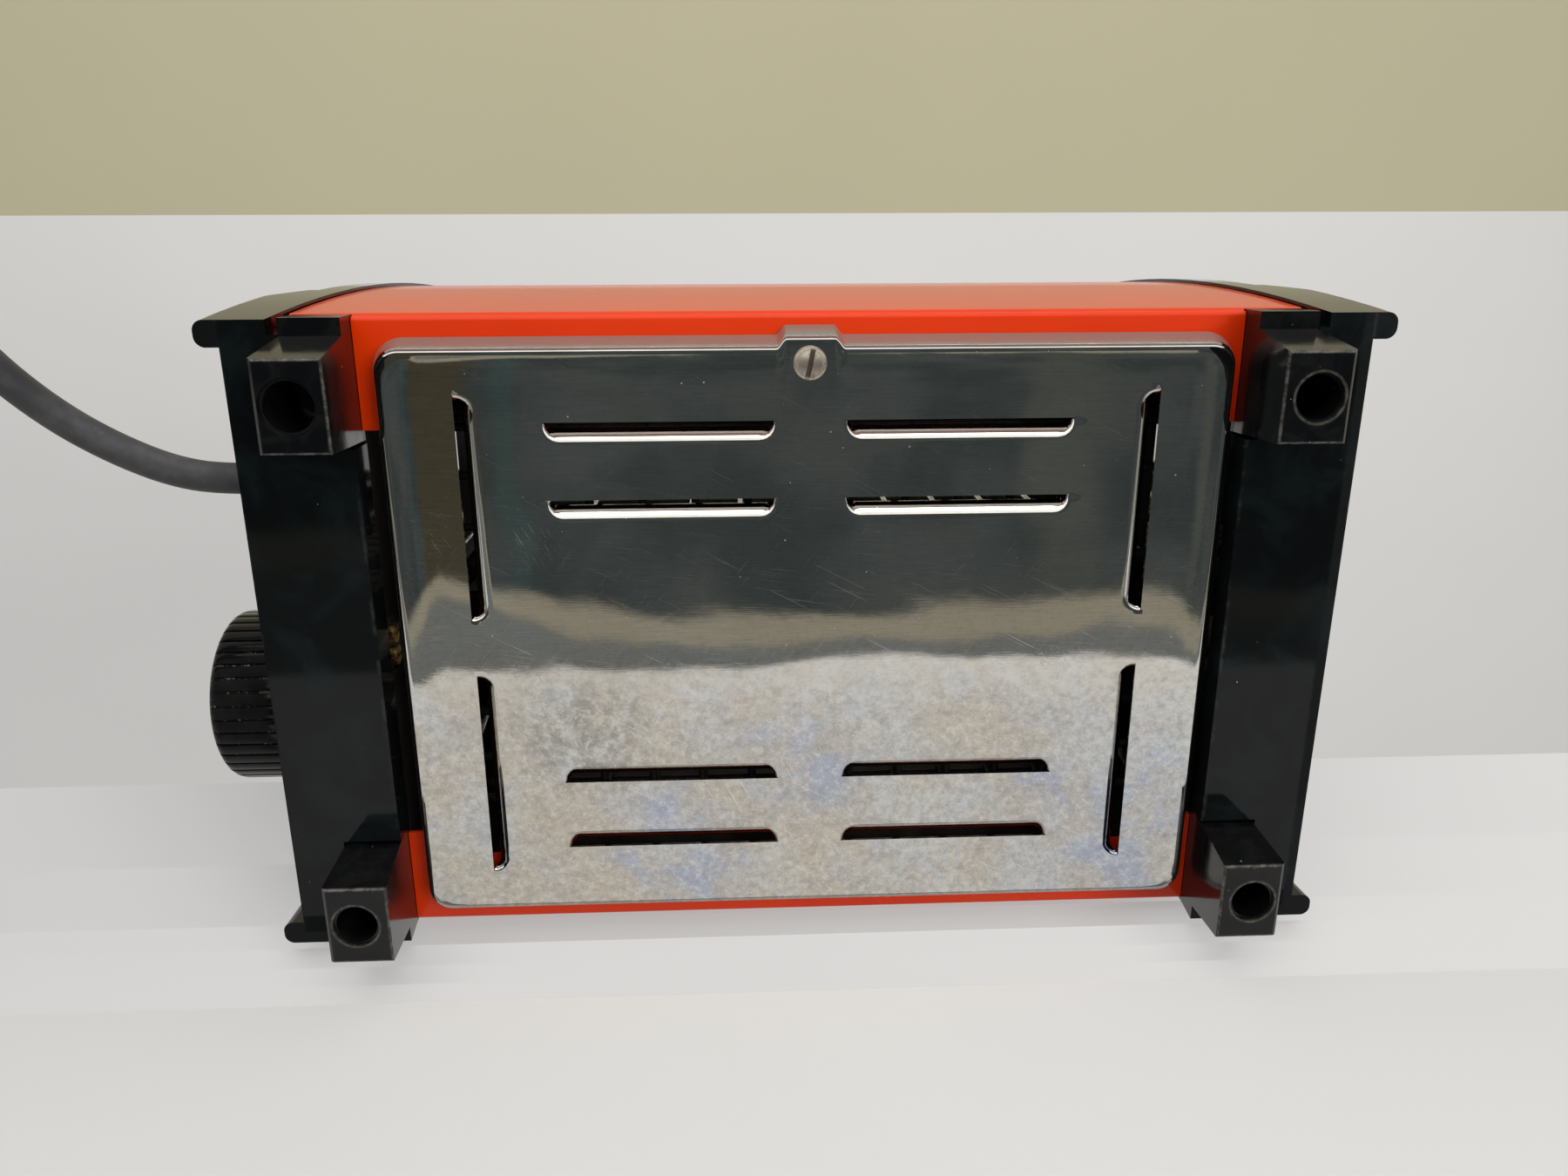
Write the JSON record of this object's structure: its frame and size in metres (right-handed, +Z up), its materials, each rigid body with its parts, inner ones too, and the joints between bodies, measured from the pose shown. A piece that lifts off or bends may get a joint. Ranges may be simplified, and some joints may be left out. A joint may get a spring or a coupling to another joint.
{
  "type": "drop side toaster",
  "caption": "Low toaster with hinged drop-down side doors, a rotary timer knob on one end cap, a louvred steel base plate, block feet and a power cord with plug.",
  "frame": {"origin": "on the standing surface, under the middle of the body between the four feet", "axes": "+Z up, +X towards the end cap with the timer knob and the cord, +Y towards the rear door"},
  "size_m": [0.396, 0.2171, 0.172],
  "materials": {
    "stainless": "polished, lightly tarnished",
    "orange_enamel": "gloss",
    "black_moulding": "gloss",
    "foot_black": "satin",
    "knob_black": "gloss",
    "inner_steel": "satin",
    "bright_wire": "bright",
    "screw_nickel": "worn bright",
    "mica": "matte",
    "ribbon": "oxidised",
    "terminal_brass": "bright",
    "inner_plastic": "matte",
    "cord_rubber": "satin",
    "lead_sleeve": "matte"
  },
  "bodies": {
    "shell": {"base_plate": "stainless", "base_plate_screw": "screw_nickel", "plate_nut": "screw_nickel", "bottom_rail_front": "orange_enamel", "bottom_rail_rear": "orange_enamel", "end_cap_timer": "black_moulding", "end_cap_plain": "black_moulding", "foot_front_timer_end": "foot_black", "foot_rear_timer_end": "foot_black", "foot_front_plain_end": "foot_black", "foot_rear_plain_end": "foot_black", "foot_screws": "inner_steel", "end_plate_timer": "inner_steel", "end_plate_plain": "inner_steel", "hinge_rod_front": "inner_steel", "hinge_rod_rear": "inner_steel", "door_catches": "inner_steel", "element_frame": "inner_steel", "mica_front": "mica", "mica_rear": "mica", "heater_ribbon_front": "ribbon", "heater_ribbon_rear": "ribbon", "guard_front": "bright_wire", "guard_rear": "bright_wire", "top_cover": "inner_steel", "timer_case": "inner_steel", "timer_switch": "terminal_brass", "bell": "screw_nickel", "bell_post": "inner_steel", "terminal_block": "inner_plastic", "terminals": "terminal_brass", "heater_leads": "ribbon", "lead_live": "lead_sleeve", "lead_neutral": "lead_sleeve", "lead_earth": "lead_sleeve", "cord_jacket_end": "cord_rubber", "cord_clamp": "inner_plastic", "cord_gland": "cord_rubber", "power_cord": "cord_rubber", "power_cord_coil": "cord_rubber", "power_cord_tail": "cord_rubber", "cord_ties": "cord_rubber", "plug_body": "cord_rubber", "plug_pins": "terminal_brass"},
    "front_door": {"door_skin_front": "orange_enamel", "door_liner_front": "inner_steel", "door_rack_front": "bright_wire", "door_ledge_front": "bright_wire", "door_handle_front": "black_moulding"},
    "rear_door": {"door_skin_rear": "orange_enamel", "door_liner_rear": "inner_steel", "door_rack_rear": "bright_wire", "door_ledge_rear": "bright_wire", "door_handle_rear": "black_moulding"},
    "timer_dial": {"timer_knob": "knob_black", "timer_shaft": "inner_steel", "timer_cam": "inner_plastic"}
  },
  "joints": [
    {"name": "front_door_hinge", "type": "hinge", "parent": "shell", "child": "front_door", "pos_m": [0, -0.06914, 0.0302], "axis": [1, 0, 0], "range_deg": [0, 88]},
    {"name": "rear_door_hinge", "type": "hinge", "parent": "shell", "child": "rear_door", "pos_m": [0, 0.06914, 0.0302], "axis": [-1, 0, 0], "range_deg": [0, 88]},
    {"name": "timer_turn", "type": "hinge", "parent": "shell", "child": "timer_dial", "pos_m": [0.126, -0.018, 0.0415], "axis": [-1, 0, 0], "range_deg": [0, 300]}
  ]
}
